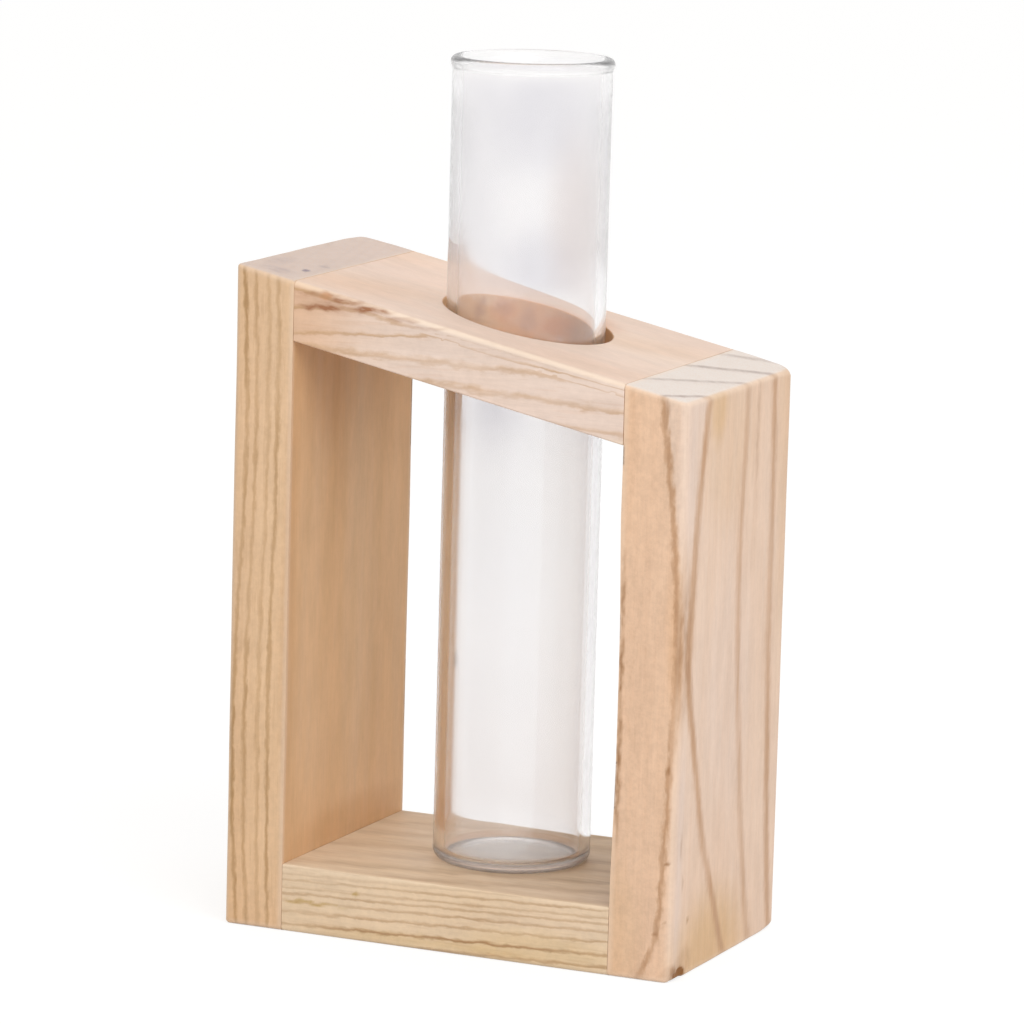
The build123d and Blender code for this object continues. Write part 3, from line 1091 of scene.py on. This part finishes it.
def dress_tube():
    """The glass tube, with its inner wall misted above and below the rail, and its base and rim.

    Below the rail the mist keeps to the side that faces the front right and the one opposite,
    and leaves the flanks clear. The part in the hole and the one over the base are clear too.
    Heights are above the floor, across runs to the right along the misted side, and angles
    are from the middle of that side.
    """
    piece = tube()
    points = points_of(piece)
    axis = (tube_lo + tube_hi) / 2
    radius = (tube_hi[0] - tube_lo[0]) / 2 - TUBE_BEAD
    turn = radians(MIST_TURN)
    outward = points[:, :2] - axis[:2]
    across = outward @ (cos(turn), sin(turn))
    forward = outward @ (sin(turn), -cos(turn))
    angle = np.degrees(np.abs(np.arctan2(across, forward)))
    z = points[:, 2]
    out = np.linalg.norm(outward, axis=1)
    inner = out < radius - TUBE_WALL / 2
    above_rail = smooth_step(z, 108, 124)
    facing = (1 - smooth_step(angle, 32, 53)) + smooth_step(angle, 91, 110)
    facing = np.maximum(facing, above_rail)
    level = z + 5.3 * smooth_step(angle, 60, 120)  # the mist sits lower on the far side
    upper = smooth_step(level, 124, 132) * (1 - smooth_step(z, 156, 163))
    lower = within(level, 21, 28, 101, 108)
    in_hole = within(level, 104, 110, 120, 126)
    mist = inner * facing * (upper + lower)
    bottom = z < base_hi[2] + 2.5
    rim = smooth_step(z, tube_hi[2] - 2.6, tube_hi[2] - 1.2)
    streaks = 0.5 + 0.5 * ripple(np.stack([outward[:, 0], outward[:, 1], 0.05 * z], -1), 6.0, seed=91)
    places = np.stack([across, z], -1)

    def patch(centre, size, strength):
        distance = np.linalg.norm((places - np.array(centre)) / np.array(size), axis=1)
        return strength * (1 - smooth_step(distance, 0.2, 1))

    # Painted shade and reflections of the frame: grey above the rail, under the rim, along the right flank
    # and below the rail
    grey = 0.05 + 0.15 * above_rail + 0.06 * streaks
    grey += 0.25 * (1 - above_rail) * smooth_step(across, 12.5, 14)
    grey += patch((1, 156), (15, 15), 0.22) + patch((2, 127), (11, 9), 0.28) + patch((8, 142), (7, 30), 0.1)
    grey += 0.6 * streaks * smooth_step(z, 88, 104) * (z < 110) - patch((-1, 139), (9, 9), 0.1)
    grey -= patch((9, 60), (8, 70), 0.1)
    # Painted reflection of the wood: a warm blush low down
    blush = 0.05 * (1 - smooth_step(z, 20, 75)) + patch((9, 136), (8, 22), 0.12)
    # Where the painted grey and blush reach: not in the hole, nor low over the base
    painted_shade_reach = (1 - 0.9 * in_hole) * smooth_step(z, 17, 24)
    # Painted reflection of the wood in the heel: a warm tint round the base
    heel = (0.1 + 0.7 * (out > radius - TUBE_HEEL)) * (z < base_hi[2] + 2)
    paint(piece, "mist", np.clip(np.maximum(mist, np.maximum(bottom, rim)), 0, 1))
    paint(piece, "grey", np.clip(grey * painted_shade_reach * (1 - smooth_step(z, 161, 164)), 0, 1))
    paint(piece, "blush", np.clip(blush * painted_shade_reach + heel, 0, 1))

    def on_wall(angle, height):
        """A place on the outer wall, at an angle to the right of the side that faces the front right."""
        facing = turn + radians(angle)
        return (axis[0] + radius * sin(facing), axis[1] - radius * cos(facing), height)

    smudges = [(on_wall(-50, 53), (1.0, 1.0, 2.2), 0.35), (on_wall(67, 33), (1.2, 1.2, 1.6), 0.3)]
    paint(piece, "smudge", np.clip(marks(points, smudges), 0, 1))
    piece.data.materials.append(tube_glass())
    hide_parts("glass_tube")
    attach(piece, "tube")


# Studio


def seen_directly(tree):
    """1 for what the camera sees, straight on, in gloss or through glass; 0 for what lights the object."""
    path = node(tree, "ShaderNodeLightPath").outputs
    seen = maths(tree, "MAXIMUM", path["Is Camera Ray"], path["Is Glossy Ray"])
    return maths(tree, "MAXIMUM", seen, path["Is Transmission Ray"])


def studio_world():
    """Soft even light from all round, in front of a white background."""
    world = bpy.data.worlds.new("studio")
    bpy.context.scene.world = world
    world.use_nodes = True
    tree = world.node_tree
    tree.nodes.clear()
    light = node(tree, "ShaderNodeBackground", {"Color": (1, 0.985, 0.965, 1), "Strength": 0.82})
    white = node(tree, "ShaderNodeBackground", {"Color": (1, 1, 1, 1), "Strength": 1.0})
    shaders = {0: seen_directly(tree), 1: light.outputs[0], 2: white.outputs[0]}
    mixed = node(tree, "ShaderNodeMixShader", shaders)
    output = node(tree, "ShaderNodeOutputWorld")
    link(tree, mixed.outputs[0], output.inputs["Surface"])


def floor():
    """A white floor that keeps a faint shadow of the vase."""
    half = 4.0
    mesh = bpy.data.meshes.new("floor")
    corners = [(-half, -half, 0), (half, -half, 0), (half, half, 0), (-half, half, 0)]
    mesh.from_pydata(corners, [], [(0, 1, 2, 3)])
    sheet = bpy.data.objects.new("floor", mesh)
    bpy.context.collection.objects.link(sheet)
    material, tree, shader, output = new_material("floor_white")
    tree.nodes.remove(shader)
    bounce = node(tree, "ShaderNodeBsdfDiffuse", {"Color": (0.8, 0.8, 0.8, 1)})
    shaded = node(tree, "ShaderNodeBsdfDiffuse", {"Color": (0.3, 0.3, 0.3, 1)})
    white = node(tree, "ShaderNodeEmission", {"Color": (1, 1, 1, 1), "Strength": 0.75})
    both = node(tree, "ShaderNodeAddShader", {0: shaded.outputs[0], 1: white.outputs[0]})
    shaders = {0: seen_directly(tree), 1: bounce.outputs[0], 2: both.outputs[0]}
    mixed = node(tree, "ShaderNodeMixShader", shaders)
    link(tree, mixed.outputs[0], output.inputs["Surface"])
    mesh.materials.append(material)


def soft_lamp(name, azimuth, elevation, distance, size, power):
    """A large square lamp that faces the middle of the vase from an angle round it."""
    data = bpy.data.lights.new(name, "AREA")
    data.size, data.energy = size, power
    lamp = bpy.data.objects.new(name, data)
    bpy.context.collection.objects.link(lamp)
    turn, lift = radians(azimuth), radians(elevation)
    towards = Vector((sin(turn) * cos(lift), -cos(turn) * cos(lift), sin(lift)))
    lamp.location = Vector((0, 0, tube_hi[2] * MM / 2)) + towards * distance
    lamp.rotation_mode = "QUATERNION"
    lamp.rotation_quaternion = towards.to_track_quat("Z", "Y")
    lamp.visible_camera = False


def camera():
    """The camera at the photograph's angle, with its slight turn about its own axis."""
    data = bpy.data.cameras.new("camera")
    data.lens, data.sensor_width = CAMERA_LENS, CAMERA_SENSOR
    viewer = bpy.data.objects.new("camera", data)
    bpy.context.collection.objects.link(viewer)
    turn, lift = radians(CAMERA_AZIMUTH), radians(CAMERA_ELEVATION)
    back = Vector((sin(turn) * cos(lift), -cos(turn) * cos(lift), sin(lift)))
    viewer.location = (Vector(CAMERA_TARGET) + back * CAMERA_DISTANCE) * MM
    viewer.rotation_mode = "QUATERNION"
    viewer.rotation_quaternion = back.to_track_quat("Z", "Y") @ Quaternion((0, 0, 1), radians(CAMERA_ROLL))
    bpy.context.scene.camera = viewer


def studio():
    """World, floor, lamps and camera."""
    bpy.context.scene.view_settings.view_transform = "Standard"
    studio_world()
    floor()
    soft_lamp("key", azimuth=48, elevation=38, distance=1.0, size=0.8, power=4.7)
    camera()


left_board()
right_board()
top_board()
bottom_board()
dress_dowels()
dress_tube()
studio()
